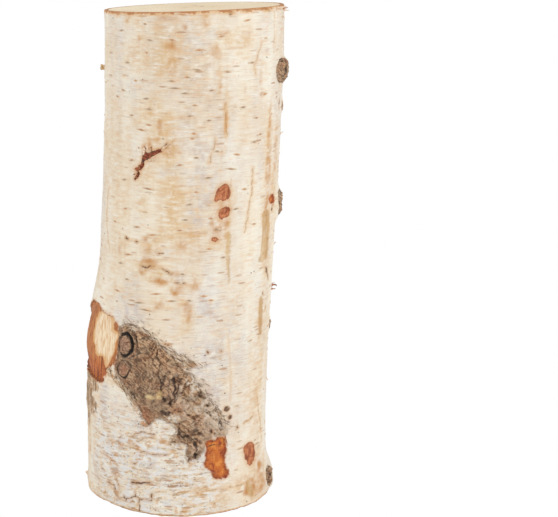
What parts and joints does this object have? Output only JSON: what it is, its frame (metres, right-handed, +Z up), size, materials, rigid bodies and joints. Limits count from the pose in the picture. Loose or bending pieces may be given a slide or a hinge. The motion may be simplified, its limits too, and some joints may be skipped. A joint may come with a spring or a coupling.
{
  "type": "log",
  "caption": "Short length of birch trunk, sawn square at both ends, with a swollen old branch collar low on the front; stands on its cut base.",
  "frame": {"origin": "middle of the foot, on the lower cut face", "axes": "+Z up along the trunk, -Y towards the side with the branch collar, +X to its right"},
  "size_m": [0.1266, 0.1194, 0.3],
  "materials": {
    "birch_bark": "matt papery bark, cream white with tan streaks and short brown lenticels",
    "cut_wood": "sawn end grain, pale and dry",
    "inner_bark": "torn orange-brown inner bark",
    "scar_bark": "rough grey-brown bark of an old branch collar"
  },
  "bodies": {
    "root": {"log": "birch_bark"}
  },
  "joints": []
}
